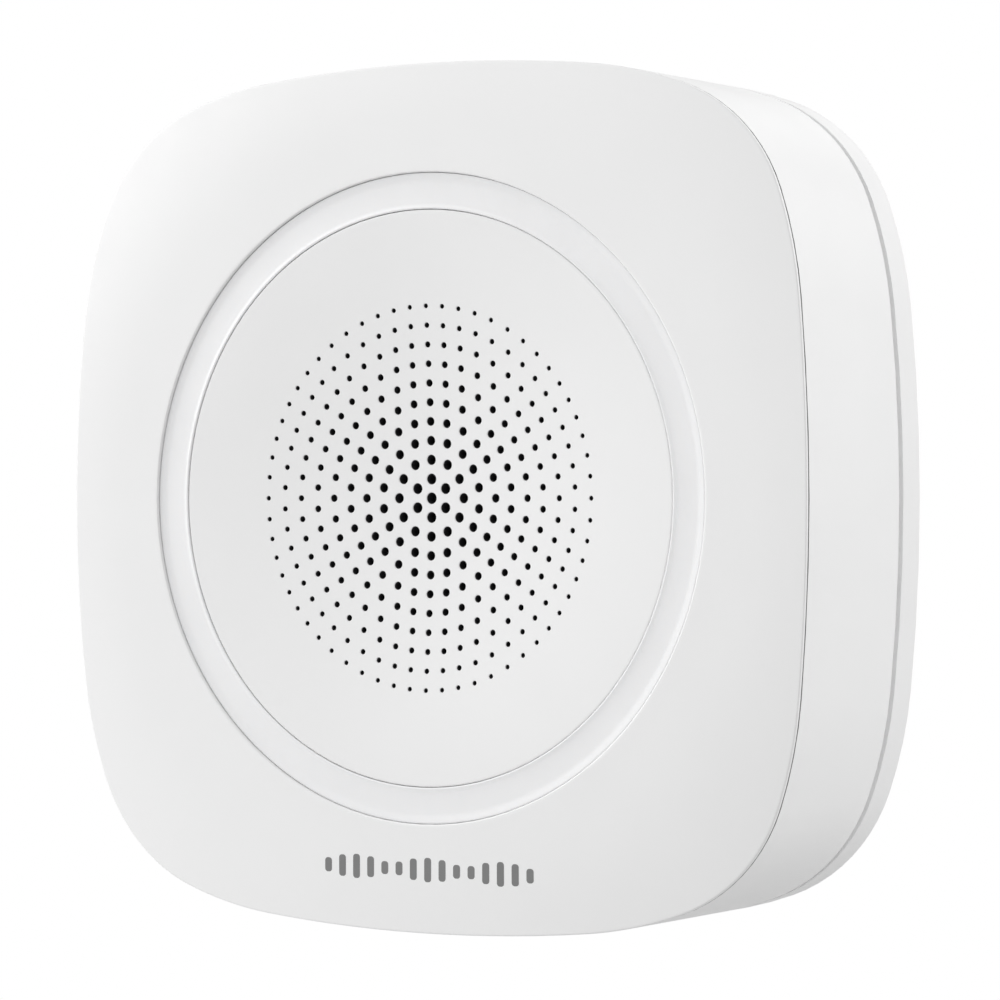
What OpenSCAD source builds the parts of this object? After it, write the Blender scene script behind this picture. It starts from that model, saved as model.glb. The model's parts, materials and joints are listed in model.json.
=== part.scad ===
// Indoor alarm siren: a pillow-shaped case that hangs on a hinged wall plate.
// Every piece is drawn lying on the wall: X right, Y up, Z out of the wall.
// stand() then turns it upright, so the finished part has Z up and its face towards -Y.

/* [Case] */
// Width and height of the case
body_w = 111; // [110:1:140]
// Depth from the wall to the highest part of the face
body_d = 32; // [32:0.4:40]
// Radius of the long, nearly straight sides
side_r = 238; // [210:2:280]
// Radius of the shoulders between the sides and the corners
shoulder_r = 55.5; // [50:0.5:62]
// Half angle that each side spans
side_span = 5.85; // [5:0.05:7]
// Angle at which a shoulder hands over to its corner
shoulder_end = 20; // [16:1:23]
// Wall thickness of the housing and the wall plate's rim
wall = 2.2; // [1.8:0.1:2.8]
// Radius inside which the face is level
face_flat_r = 48; // [44:1:50]
// Radius of the curve by which the face falls away towards the outline
face_fall_r = 110; // [90:5:140]
// Thickness of the front cover
cover_t = 1.8; // [1.4:0.1:2.4]
// Thickness of the front cover where it laps over the housing wall
cover_edge_t = 0.4; // [0.3:0.1:0.6]
// Shadow gap between the front cover and the housing
cover_gap = 0.3; // [0.2:0.05:0.5]

/* [Grille] */
// Spacing of the sound holes, from ring to ring
hole_pitch = 2.46; // [2:0.02:2.8]
// Number of rings of sound holes
hole_rings = 10; // [6:1:10]
// Diameter of the middle sound hole
hole_mid_d = 1.5; // [1:0.1:1.8]
// Diameter of the sound holes in the outermost ring
hole_rim_d = 0.62; // [0.5:0.02:1]
// Diameter of the grille disc
disc_d = 73.5; // [70:0.5:74.5]
// Thickness of the grille disc
disc_t = 1.6; // [1.2:0.1:2]
// Depth of the middle of the dish below the face
dish_depth = 2.9; // [2:0.1:3.4]

/* [Light ring] */
// Diameter of the opening in the front cover
opening_d = 83.2; // [81:0.2:86]
// Gap on both sides of the light ring
ring_gap = 0.35; // [0.2:0.05:0.5]
// Depth of the light ring's floor below the face
ring_depth = 1.1; // [0.8:0.1:1.5]
// Number of lamps behind the light ring
led_count = 12; // [6:1:18]

/* [Wall plate] */
// Thickness of the wall plate
plate_t = 2.4; // [2:0.1:3]
// Height of the rim round the wall plate
rim_h = 5.6; // [5.2:0.1:6.4]
// Width of the shadow groove between the rim and the housing
groove_w = 1.2; // [0.8:0.1:1.6]
// Depth of that groove
groove_depth = 0.9; // [0.6:0.1:1.2]
// Spacing of the wall screws, both ways
wall_hole_spacing = 60; // [50:1:72]
// Diameter of the wall screw holes
wall_hole_d = 4.4; // [3.6:0.1:5.4]

/* [Cells] */
// Diameter of a cell
cell_d = 17; // [14:0.1:17.4]
// Length of a cell
cell_len = 34.5; // [30:0.1:34.9]

/* [Fasteners and controls] */
// Diameter of the captive lock screw's shank
lock_d = 3; // [2.4:0.1:4]
// Travel of the lock screw from tight to loose
lock_travel = 2; // [1.5:0.1:2.2]
// Diameter of the cover screws
cover_screw_d = 2.4; // [2:0.1:3]
// Diameter of the board and chamber screws
board_screw_d = 2; // [1.6:0.1:2.2]
// Diameter of the tamper plunger
plunger_d = 3.2; // [2.6:0.1:4]

/* [Hidden] */
$fn = 96;
eps = 0.01;      // overlap where two shapes of one piece join
fit = 0.05;      // radial clearance of a turning or sliding fit
slack = 0.3;     // clearance between pieces that move past each other
lay = 0.1;       // clearance between pieces that are assembled and stay put

// The outline: sides, shoulders and corners are tangent arcs about their own centres
half_w = body_w / 2;
side_centre = [half_w - side_r, 0];
shoulder_centre = side_centre + (side_r - shoulder_r) * heading(side_span);
corner_r = shoulder_r
  + (shoulder_centre.x - shoulder_centre.y) / (cos(shoulder_end) - sin(shoulder_end));
corner_centre = shoulder_centre + (shoulder_r - corner_r) * heading(shoulder_end);
side_steps = 6;      // straight steps in each side arc
shoulder_steps = 4;  // in each shoulder
corner_steps = 10;   // in each corner

// Heights above the wall
lip_h = rim_h + slack;
wall_start_h = rim_h + groove_w;
floor_h = rim_h + 0.8;
floor_t = 1.6;
floor_top = floor_h + floor_t;
cover_under_h = body_d - cover_t;
ring_floor_h = body_d - ring_depth;
shelf_h = body_d - 3.2;
shelf_t = 1;
led_board_h = body_d - 6;
led_board_t = 1;
board_h = 11;
board_t = 1.6;
board_top = board_h + board_t;
chamber_h = 15;

// Grille: the dish rises from its middle as rise * x^2 - ease * x^4, x being 1 at the last ring
disc_r = disc_d / 2;
field_r = hole_pitch * hole_rings;
dish_field_r = 24.6;
dish_rise = 1.62;
dish_ease = 0.29;

// Light ring
opening_r = opening_d / 2;
ring_in_r = disc_r + ring_gap;
ring_out_r = opening_r - ring_gap;
ring_leg = 1;          // thickness of the legs behind the light ring
flange_out_r = ring_out_r + 3.4;
shelf_in_r = disc_r - 2.4;
led_r = (ring_in_r + ring_out_r) / 2;

// Siren chamber
chamber_wall = 1.6;
chamber_in_r = field_r + hole_rim_d / 2 + 0.7;
chamber_out_r = chamber_in_r + chamber_wall;
chamber_front_h = body_d - 4;
ledge_h = 20;
ledge_t = 1.2;
piezo_r = 20.6;
ledge_in_r = piezo_r - 0.8;
cap_t = 1.4;
ceramic_lead_x = 9;
brass_lead_x = 16;
ear_r = 3;
ear_reach = chamber_out_r + 2.6;   // distance of the ears' screws from the middle
ear_t = 2.4;

// Cells in two columns beside the chamber
bay_wall = 1.2;
cell_clear = 0.4;
cell_x = chamber_out_r + 0.4 + bay_wall + cell_clear + cell_d / 2;
cell_h = floor_h + 0.9 + cell_d / 2;
spring_len = 3.4;
contact_t = 0.5;
bay_len = cell_len + spring_len + contact_t + 0.4;
bay_half_w = cell_d / 2 + cell_clear;
bay_front_h = cell_h + cell_d / 2 + 0.3;
cell_y = bay_wall / 2 + contact_t + 0.1 + cell_len / 2;

// Main board
board_half_w = chamber_out_r - 0.6;
board_low_y = -41.5;
board_high_y = 43.5;
post_r = 2.5;
post_x = board_half_w - post_r - 0.11;
post_low_y = board_low_y + 3.2;
post_high_y = board_high_y - 3.2;

// Cover screws and the hinge line at the top
boss_x = 22;
boss_y = half_w - 7.9;
boss_r = 3;
sleeve_top = board_h + 3;
pivot_y = half_w;
pivot_h = rim_h + slack / 2;
hook_x = 10;
hook_w = 8;
hook_in_r = 6;
hook_out_r = 7.4;
hook_end = 60;        // angle by which the hooks curl forwards

// Lock screw at the bottom
lock_h = floor_top + lock_d / 2 + 1;
lock_head_d = 5.6;
lock_head_t = 1.7;
lock_seat_y = -half_w + 2;
lock_boss_y = -half_w + 6;
lock_tip_y = -half_w + 13;
tab_t = 1.8;
tab_y = -half_w + 10;       // lower face of the wall plate's tab
tab_half_w = 5;
tab_top_h = lock_h + 3.5;
washer_t = 0.5;
washer_y = lock_boss_y + lock_travel + slack;
neck_r = lock_d / 2 - 0.4;

// Controls on the rear of the main board
tamper_pos = [12, 20];
control_y = -32;
power_x = -12;
enrol_x = 12;
slider_w = 2;
slider_travel = 2;
button_r = 1.7;
button_travel = 0.4;

function heading(a) = [cos(a), sin(a)];
function arc(centre, r, from, to, steps) =
  [for (i = [0:steps - 1]) centre + r * heading(from + (to - from) * i / steps)];
function mirrored(p) = [p.y, p.x];
function turned(p, a) = [p.x * cos(a) - p.y * sin(a), p.x * sin(a) + p.y * cos(a)];
function quarter(inset) = concat(
  arc(side_centre, side_r - inset, -side_span, side_span, side_steps),
  arc(shoulder_centre, shoulder_r - inset, side_span, shoulder_end, shoulder_steps),
  arc(corner_centre, corner_r - inset, shoulder_end, 90 - shoulder_end, corner_steps),
  [for (i = [shoulder_steps:-1:1]) mirrored(shoulder_centre + (shoulder_r - inset)
    * heading(side_span + (shoulder_end - side_span) * i / shoulder_steps))]);
function face_h(r) = body_d - pow(max(r - face_flat_r, 0), 2) / (2 * face_fall_r);
function dish_h(r) = let (x = r / dish_field_r)
  body_d - dish_depth + dish_rise * pow(x, 2) - dish_ease * pow(x, 4);
function sound_hole_d(ring) = hole_mid_d - (hole_mid_d - hole_rim_d) * ring / hole_rings;

// A coil of round wire along Z, from height 0 to len, as rings of points round its own path
function coil_point(t, r, len, turns) = [r * cos(360 * turns * t), r * sin(360 * turns * t), len * t];
function coil_ring(t, r, len, turns, wire_r, sides) = let (
    spin = 360 * turns * t,
    out = [cos(spin), sin(spin), 0],
    run = [-sin(spin) * 2 * PI * turns * r, cos(spin) * 2 * PI * turns * r, len],
    along = run / norm(run),
    across = cross(along, out))
  [for (i = [0:sides - 1]) coil_point(t, r, len, turns)
    + wire_r * (cos(360 * i / sides) * out + sin(360 * i / sides) * across)];

module coil(r, len, turns, wire_r, per_turn = 16, sides = 6) {
  steps = round(turns * per_turn);
  points = [for (s = [0:steps]) each coil_ring(s / steps, r, len, turns, wire_r, sides)];
  walls = [for (s = [0:steps - 1]) for (i = [0:sides - 1]) let (j = (i + 1) % sides, a = s * sides)
    each [[a + i, a + sides + i, a + sides + j], [a + i, a + sides + j, a + j]]];
  polyhedron(points, concat(walls,
    [[for (i = [0:sides - 1]) i], [for (i = [sides - 1:-1:0]) steps * sides + i]]));
}

module stand() {
  rotate([90, 0, 0]) children();
}

module outline(inset) {
  polygon([for (turn = [0:90:270]) for (p = quarter(inset)) turned(p, turn)]);
}

module slab(inset, from, to) {
  translate([0, 0, from]) linear_extrude(to - from) outline(inset);
}

// Everything below the face, lowered by drop
module below_face(drop) {
  far_r = half_w * 1.5;
  steps = 8;
  rotate_extrude() polygon([
    [0, 0],
    [far_r, 0],
    for (i = [steps:-1:0]) let (r = face_flat_r + (far_r - face_flat_r) * i / steps)
      [r, face_h(r) - drop],
    [0, face_h(0) - drop]
  ]);
}

module washer(r_in, r_out, from, to) {
  translate([0, 0, from]) difference() {
    cylinder(h = to - from, r = r_out);
    translate([0, 0, -1]) cylinder(h = to - from + 2, r = r_in);
  }
}

module rod(x, y, r, from, to) {
  translate([x, y, from]) cylinder(h = to - from, r = r);
}

module block(x_range, y_range, h_range) {
  translate([x_range[0], y_range[0], h_range[0]])
    cube([x_range[1] - x_range[0], y_range[1] - y_range[0], h_range[1] - h_range[0]]);
}

module at_corners(x, y) {
  for (sx = [-1, 1]) for (sy = [-1, 1]) translate([sx * x, sy * y, 0]) children();
}

module at_posts() {
  for (sx = [-1, 1]) for (y = [post_low_y, post_high_y]) translate([sx * post_x, y, 0]) children();
}

module at_ears() {
  for (a = [45:90:315]) rotate(a) translate([ear_reach, 0, 0]) children();
}

// A screw with a round head at height seat; its shank runs from the seat to tip
module screw(d, head_r, head_t, seat, tip) {
  up = tip > seat ? 1 : -1;
  difference() {
    union() {
      translate([0, 0, min(seat, tip)]) cylinder(h = abs(tip - seat), r = d / 2);
      translate([0, 0, up > 0 ? seat - head_t : seat]) cylinder(h = head_t, r = head_r);
    }
    slot_from = up > 0 ? seat - head_t - 1 : seat + head_t * 0.4;
    for (a = [0, 90]) rotate(a)
      translate([-head_r * 0.55, -0.25, slot_from]) cube([head_r * 1.1, 0.5, head_t * 0.6 + 1]);
  }
}

module hook() {
  intersection() {
    translate([0, pivot_y, pivot_h]) rotate([90, 0, 90])
      translate([0, 0, -hook_w / 2]) washer(hook_in_r, hook_out_r, 0, hook_w);
    translate([-hook_w / 2 - 1, pivot_y, pivot_h]) rotate([90, 0, 90])
      linear_extrude(hook_w + 2) polygon([[0, 0], [-10, 0], [-10, 18], [-10 * cos(hook_end), 10 * sin(hook_end)]]);
  }
  block([-hook_w / 2, hook_w / 2], [pivot_y - hook_out_r, pivot_y - hook_in_r],
    [plate_t - eps, pivot_h + eps]);
}

module wall_plate() {
  color("whitesmoke") stand() difference() {
    union() {
      slab(0, 0, plate_t);
      difference() {
        slab(0, 0, rim_h);
        slab(wall, -1, rim_h + 1);
      }
      at_corners(wall_hole_spacing / 2, wall_hole_spacing / 2)
        rod(0, 0, wall_hole_d / 2 + 2.4, 0, plate_t + 1);
      for (x = [-hook_x, hook_x]) translate([x, 0, 0]) hook();
      block([-tab_half_w, tab_half_w], [tab_y, tab_y + tab_t], [0, tab_top_h]);
    }
    at_corners(wall_hole_spacing / 2, wall_hole_spacing / 2)
      rod(0, 0, wall_hole_d / 2, -1, plate_t + 2);
    rod(tamper_pos.x, tamper_pos.y, plunger_d / 2 + 0.9, -1, plate_t + 1);
    block([-lock_d / 2 - slack, lock_d / 2 + slack], [tab_y - 1, tab_y + tab_t + 1],
      [lock_h - lock_d / 2 - slack, tab_top_h + 1]);
  }
}

// Cavities for the two columns of cells, open to the rear
module cell_bays() {
  for (sx = [-1, 1]) for (sy = [-1, 1]) {
    centre_y = sy * (bay_wall / 2 + bay_len / 2);
    block([sx * cell_x - bay_half_w, sx * cell_x + bay_half_w],
      [centre_y - bay_len / 2, centre_y + bay_len / 2], [-1, bay_front_h]);
  }
}

module housing() {
  color("whitesmoke") stand() difference() {
    union() {
      difference() {
        intersection() {
          union() {
            slab(0, wall_start_h, body_d);
            slab(groove_depth, lip_h, wall_start_h + eps);
          }
          below_face(cover_edge_t + cover_gap);
        }
        slab(wall, lip_h - 1, body_d + 1);
      }
      slab(wall - eps, floor_h, floor_top);
      intersection() {
        slab(wall / 2, floor_h, bay_front_h + bay_wall);
        union() for (sx = [-1, 1])
          block([sx * cell_x - bay_half_w - bay_wall, sx * cell_x + bay_half_w + bay_wall],
            [-bay_len - 1.5 * bay_wall, bay_len + 1.5 * bay_wall],
            [floor_h, bay_front_h + bay_wall]);
      }
      for (sx = [-1, 1]) for (sy = [-1, 1])
        rod(sx * cell_x, sy * 16, 2, bay_front_h + bay_wall - eps, led_board_h);
      at_posts() rod(0, 0, post_r, floor_top - eps, board_h);
      at_ears() rod(0, 0, ear_r, floor_top - eps, chamber_h);
      at_corners(boss_x, boss_y) rod(0, 0, boss_r, floor_h, sleeve_top);
      rod(tamper_pos.x, tamper_pos.y, plunger_d / 2 + 1, floor_h, floor_top);
      translate([0, 0, lock_h]) rotate([90, 0, 0])
        rod(0, 0, lock_head_d / 2 + 1.8, -lock_boss_y, half_w - wall / 2);
    }
    cell_bays();
    at_posts() rod(0, 0, board_screw_d / 2 + fit, floor_top + 0.4, board_h + 1);
    at_ears() rod(0, 0, board_screw_d / 2 + fit, floor_top + 0.4, chamber_h + 1);
    at_corners(boss_x, boss_y) {
      rod(0, 0, cover_screw_d / 2 + 0.1, floor_h - 1, sleeve_top + 1);
      rod(0, 0, cover_screw_d + 0.3, floor_h - 1, floor_h + 1.8);
    }
    rod(tamper_pos.x, tamper_pos.y, plunger_d / 2 + fit, floor_h - 1, floor_top + 1);
    rod(enrol_x, control_y, button_r + slack, floor_h - 1, floor_top + 1);
    block([power_x - (slider_w + slider_travel) / 2 - slack, power_x + (slider_w + slider_travel) / 2 + slack],
      [control_y - slider_w / 2 - slack, control_y + slider_w / 2 + slack], [floor_h - 1, floor_top + 1]);
    for (x = [-hook_x, hook_x])
      block([x - hook_w / 2 - slack, x + hook_w / 2 + slack],
        [pivot_y - hook_out_r - 0.7, pivot_y - hook_in_r + 0.7], [floor_h - 1, floor_top + 1]);
    block([-tab_half_w - slack, tab_half_w + slack], [tab_y - 0.8, tab_y + tab_t + 1.4],
      [floor_h - 1, floor_top + 1]);
    translate([0, 0, lock_h]) rotate([90, 0, 0]) {
      rod(0, 0, lock_d / 2 + fit, -lock_boss_y - 1, half_w + 1);
      rod(0, 0, lock_head_d / 2 + 0.3, -lock_seat_y, half_w + 1);
    }
  }
}

module front_cover() {
  skirt_in = wall + lay;
  skirt_t = 1.2;
  color("white") stand() difference() {
    union() {
      intersection() {
        slab(0, 0, body_d + 1);
        difference() {
          below_face(0);
          below_face(cover_edge_t);
        }
      }
      intersection() {
        slab(skirt_in, 0, body_d + 1);
        difference() {
          below_face(0);
          below_face(cover_t);
        }
      }
      intersection() {
        difference() {
          slab(skirt_in, body_d - 5.6, body_d);
          slab(skirt_in + skirt_t, body_d - 7, body_d + 1);
        }
        below_face(cover_edge_t);
      }
      intersection() {
        at_corners(boss_x, boss_y) rod(0, 0, boss_r, sleeve_top + lay, body_d);
        below_face(cover_edge_t);
      }
    }
    rod(0, 0, opening_r, 0, body_d + 1);
    at_corners(boss_x, boss_y)
      rod(0, 0, cover_screw_d / 2 + fit, sleeve_top - 1, sleeve_top + 8);
  }
}

module light_ring() {
  rim_w = 0.5;
  rim_up = 0.35;
  inner_up = 0.3;
  lens_t = 1.6;
  color("gainsboro") stand() rotate_extrude($fn = 128) polygon([
    [shelf_in_r, shelf_h],
    [ring_in_r, shelf_h],
    [ring_in_r, ring_floor_h + inner_up],
    [ring_in_r + rim_w, ring_floor_h + inner_up],
    [ring_in_r + rim_w + 0.25, ring_floor_h],
    [ring_out_r - rim_w - 0.25, ring_floor_h],
    [ring_out_r - rim_w, ring_floor_h + rim_up],
    [ring_out_r, ring_floor_h + rim_up],
    [ring_out_r, cover_under_h],
    [flange_out_r, cover_under_h],
    [flange_out_r, cover_under_h - shelf_t],
    [ring_out_r, cover_under_h - shelf_t],
    [ring_out_r, led_board_h + led_board_t],
    [ring_out_r - ring_leg, led_board_h + led_board_t],
    [ring_out_r - ring_leg, ring_floor_h - lens_t],
    [ring_in_r + ring_leg, ring_floor_h - lens_t],
    [ring_in_r + ring_leg, shelf_h - shelf_t],
    [shelf_in_r, shelf_h - shelf_t]
  ]);
}

module grille_disc() {
  front_steps = 6;
  rear_steps = 3;
  rib_w = 1.8;
  color("white") stand() union() {
    intersection() {
      rotate_extrude() polygon([
        for (i = [0:front_steps]) let (r = disc_r * i / front_steps) [r, dish_h(r)],
        for (i = [rear_steps:-1:0]) let (r = disc_r * i / rear_steps) [r, dish_h(r) - disc_t]
      ]);
      translate([0, 0, shelf_h - 4]) linear_extrude(8) difference() {
        circle(disc_r + 1);
        for (ring = [0:hole_rings]) for (sector = [0:5])
          for (j = [-floor((ring - 1) / 2):floor(ring / 2)])
            if (ring > 0 || sector == 0)
              rotate(90 + 60 * sector + (ring > 0 ? asin(j / ring) : 0))
                translate([ring * hole_pitch, 0]) circle(d = sound_hole_d(ring), $fn = 24);
      }
    }
    washer(disc_r - rib_w, disc_r, shelf_h, dish_h(disc_r - rib_w) - disc_t + 0.3);
  }
}

module acoustic_mesh() {
  mesh_h = dish_h(0) - disc_t - 0.4;
  color("black") stand() rod(0, 0, chamber_in_r - lay, mesh_h, mesh_h + 0.2);
}

module chamber_gasket() {
  color("dimgray") stand()
    washer(chamber_in_r, chamber_out_r, chamber_front_h, dish_h(chamber_in_r) - disc_t - 0.05);
}

module siren_chamber() {
  color("dimgray") stand() difference() {
    union() {
      washer(chamber_in_r, chamber_out_r, chamber_h, chamber_front_h);
      washer(ledge_in_r, chamber_in_r + eps, ledge_h, ledge_h + ledge_t);
      difference() {
        at_ears() union() {
          rod(0, 0, ear_r, chamber_h, chamber_h + ear_t);
          block([-ear_r - 1, 0], [-ear_r, ear_r], [chamber_h, chamber_h + ear_t]);
        }
        rod(0, 0, chamber_in_r + eps, chamber_h - 1, chamber_h + ear_t + 1);
      }
    }
    at_ears() rod(0, 0, board_screw_d / 2 + 0.15, chamber_h - 1, chamber_h + ear_t + 1);
  }
}

module chamber_cap() {
  color("dimgray") stand() difference() {
    rod(0, 0, chamber_in_r - lay, chamber_h, chamber_h + cap_t);
    for (x = [ceramic_lead_x, brass_lead_x]) rod(x, 0, 0.8, chamber_h - 1, chamber_h + cap_t + 1);
  }
}

module piezo_disc() {
  color("goldenrod") stand() rod(0, 0, piezo_r, ledge_h - 0.4, ledge_h);
}

module piezo_ceramic() {
  color("lightgray") stand() rod(0, 0, 12.5, ledge_h - 0.7, ledge_h - 0.4);
}

module piezo_seal() {
  color("black") stand() difference() {
    washer(piezo_r - 2, chamber_in_r - lay, ledge_h - 1.6, ledge_h);
    rod(0, 0, piezo_r + lay, ledge_h - 0.4 - eps, ledge_h + 1);
  }
}

module siren_leads() {
  color("firebrick") stand() {
    rod(ceramic_lead_x, 0, 0.5, board_top, ledge_h - 0.7);
    rod(brass_lead_x, 0, 0.5, board_top, ledge_h - 0.4);
  }
}

module chamber_screws() {
  color("silver") stand() at_ears()
    screw(board_screw_d, board_screw_d * 0.95, 1.3, chamber_h + ear_t, floor_top + 1);
}

module led_board() {
  color("whitesmoke") stand() difference() {
    washer(shelf_in_r + 0.5, flange_out_r, led_board_h, led_board_h + led_board_t);
    block([-4.3, 4.3], [-flange_out_r + 3.7, -flange_out_r + 5.3], [led_board_h - 1, led_board_h + 2]);
  }
}

module leds() {
  color("lightyellow") stand() for (i = [0:led_count - 1]) rotate(360 * (i + 0.5) / led_count)
    block([led_r - 1, led_r + 1], [-1.6, 1.6],
      [led_board_h + led_board_t, led_board_h + led_board_t + 0.8]);
}

module led_ribbon() {
  ribbon_y = -flange_out_r + 4.5;
  color("sandybrown") stand()
    block([-4, 4], [ribbon_y - 0.15, ribbon_y + 0.15], [board_top + 1, led_board_h + led_board_t]);
}

module ribbon_socket() {
  ribbon_y = -flange_out_r + 4.5;
  color("ivory") stand() difference() {
    block([-5.5, 5.5], [ribbon_y - 1.4, ribbon_y + 2], [board_top, board_top + 2.4]);
    block([-4.2, 4.2], [ribbon_y - 0.3, ribbon_y + 0.3], [board_top + 0.9, board_top + 3]);
  }
}

module main_board() {
  color("darkgreen") stand() difference() {
    block([-board_half_w, board_half_w], [board_low_y, board_high_y], [board_h, board_top]);
    at_posts() rod(0, 0, board_screw_d / 2 + 0.15, board_h - 1, board_top + 1);
    at_ears() rod(0, 0, ear_r + 0.3, board_h - 1, board_top + 1);
  }
}

module board_screws() {
  color("silver") stand() at_posts()
    screw(board_screw_d, board_screw_d * 0.95, 1.3, board_top, floor_top + 0.8);
}

module control_chip() {
  leg_pitch = 1;
  color("dimgray") stand() {
    block([-5, 5], [-5, 5], [board_top + 0.1, board_top + 1.5]);
    for (turn = [0:90:270]) rotate(turn) for (i = [-4:4])
      block([4.9, 6.2], [i * leg_pitch - 0.2, i * leg_pitch + 0.2], [board_top, board_top + 0.3]);
  }
}

module radio_module() {
  color("silver") stand() {
    block([5 - post_x, 20 - post_x], [board_low_y + 4.5, board_low_y + 12.5], [board_top, board_top + 0.8]);
    block([6.5 - post_x, 16 - post_x], [board_low_y + 5.3, board_low_y + 11.7],
      [board_top + 0.8, board_top + 2.2]);
  }
}

module antenna() {
  coil_r = 2.4;
  wire_r = 0.35;
  color("goldenrod") stand() translate([post_x - 16, board_low_y + 6, board_top + coil_r + wire_r])
    rotate([0, 90, 0]) coil(coil_r, 13, 7, wire_r);
}

module boost_transformer() {
  color("darkgoldenrod") stand() {
    block([post_x - 16, post_x - 4], [board_high_y - 13, board_high_y - 11.2], [board_top, board_top + 8]);
    block([post_x - 16, post_x - 4], [board_high_y - 5.8, board_high_y - 4], [board_top, board_top + 8]);
    translate([post_x - 10, board_high_y - 11.3, board_top + 4]) rotate([-90, 0, 0]) cylinder(h = 5.6, r = 3.6);
  }
}

module buffer_capacitor() {
  color("steelblue") stand() translate([6 - post_x, board_high_y - 8.5, board_top + 4.2])
    rotate([0, 90, 0]) rotate_extrude($fn = 64) polygon([
      [0, 0], [4.1, 0], [4.1, 1.2], [3.8, 1.6], [3.8, 2], [4.1, 2.4], [4.1, 16], [0, 16]
    ]);
}

module board_parts() {
  color("dimgray") stand() {
    for (i = [0:5]) block([-22, -20.2], [-9 + 3.6 * i, -7.8 + 3.6 * i], [board_top, board_top + 0.6]);
    for (i = [0:5]) block([20.2, 22], [-9 + 3.6 * i, -7.8 + 3.6 * i], [board_top, board_top + 0.6]);
    for (i = [0:3]) block([-3 + 4 * i, -1 + 4 * i], [board_high_y - 17, board_high_y - 15.8],
      [board_top, board_top + 0.8]);
    block([-8, -3], [-20, -16], [board_top, board_top + 1.4]);
    block([4, 9], [-20, -16], [board_top, board_top + 1.4]);
  }
}

module tamper_switch() {
  color("dimgray") stand() {
    block([tamper_pos.x - 3, tamper_pos.x + 3], [tamper_pos.y - 3, tamper_pos.y + 3],
      [board_h - 1.8, board_h]);
    rod(tamper_pos.x, tamper_pos.y, 1.2, board_h - 2.2, board_h - 1.8 + eps);
  }
}

module tamper_plunger() {
  color("white") stand() {
    rod(tamper_pos.x, tamper_pos.y, plunger_d / 2, 0, board_h - 2.25);
  }
}

module power_switch() {
  color("dimgray") stand() difference() {
    block([power_x - 4.5, power_x + 4.5], [control_y - 2, control_y + 2],
      [board_h - 2.8, board_h]);
    block([power_x - 2.4, power_x + 2.4], [control_y - 1.3, control_y + 1.3],
      [board_h - 3, board_h - 1.2]);
  }
}

module power_slider() {
  color("white") stand() block(
    [power_x - slider_travel / 2 - slider_w / 2, power_x - slider_travel / 2 + slider_w / 2],
    [control_y - slider_w / 2, control_y + slider_w / 2], [floor_h, board_h - 1.5]);
}

module enrol_switch() {
  color("dimgray") stand() difference() {
    block([enrol_x - 3, enrol_x + 3], [control_y - 3, control_y + 3], [board_h - 2.8, board_h]);
    rod(enrol_x, control_y, button_r + fit, board_h - 4, board_h - 1);
  }
}

module enrol_button() {
  color("tomato") stand() rod(enrol_x, control_y, button_r, floor_h - 0.2, board_h - 1 - button_travel - 0.1);
}

module battery(index) {
  sx = index % 2 == 1 ? -1 : 1;
  sy = index > 2 ? -1 : 1;
  nub_t = 1;
  color("orange") stand() translate([sx * cell_x, sy * cell_y, cell_h])
    rotate([sy > 0 ? 90 : -90, 0, 0]) translate([0, 0, -cell_len / 2]) {
      cylinder(h = cell_len - nub_t, r = cell_d / 2);
      cylinder(h = cell_len, r = cell_d * 0.19);
    }
}

module cell_springs() {
  wire_r = 0.35;
  seat_y = bay_wall / 2 + bay_len - contact_t - wire_r - 0.02;
  color("silver") stand() for (sx = [-1, 1]) for (sy = [-1, 1])
    translate([sx * cell_x, sy * seat_y, cell_h]) rotate([sy > 0 ? 90 : -90, 0, 0])
      coil(3.6, spring_len - 2 * wire_r - 0.3, 3, wire_r);
}

module cell_plates() {
  near_y = bay_wall / 2;
  far_y = near_y + bay_len;
  color("silver") stand() for (sx = [-1, 1]) for (sy = [-1, 1]) {
    block([sx * cell_x - 5, sx * cell_x + 5],
      [min(sy * near_y, sy * (near_y + contact_t)), max(sy * near_y, sy * (near_y + contact_t))],
      [cell_h - 5, cell_h + 5]);
    block([sx * cell_x - 5, sx * cell_x + 5],
      [min(sy * far_y, sy * (far_y - contact_t)), max(sy * far_y, sy * (far_y - contact_t))],
      [cell_h - 5, cell_h + 5]);
  }
}

module rating_label() {
  color("silver") stand() block([-18, 18], [-14, 8], [floor_h - 0.15, floor_h]);
}

module cover_screws() {
  color("silver") stand() at_corners(boss_x, boss_y)
    screw(cover_screw_d, cover_screw_d, 1.5, floor_h + 1.8, sleeve_top + 6.5);
}

// Lies along Y below the housing; its head is at the outside, its neck carries the washer
module lock_screw() {
  color("silver") stand() translate([0, 0, lock_h]) rotate([90, 0, 0]) difference() {
    union() {
      rod(0, 0, lock_head_d / 2, -lock_seat_y + 0.05, -lock_seat_y + lock_head_t);
      rod(0, 0, lock_d / 2, -washer_y + fit, -lock_seat_y + 0.1);
      rod(0, 0, neck_r, -washer_y - washer_t - fit - eps, -washer_y + fit + eps);
      rod(0, 0, lock_d / 2, -lock_tip_y, -washer_y - washer_t - fit);
    }
    for (a = [0, 90]) rotate(a)
      translate([-1.6, -0.35, -lock_seat_y + lock_head_t - 1]) cube([3.2, 0.7, 2]);
  }
}

module lock_washer() {
  color("gray") stand() translate([0, 0, lock_h]) rotate([90, 0, 0])
    washer(neck_r + fit, lock_d / 2 + 0.8, -washer_y - washer_t, -washer_y);
}

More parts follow.
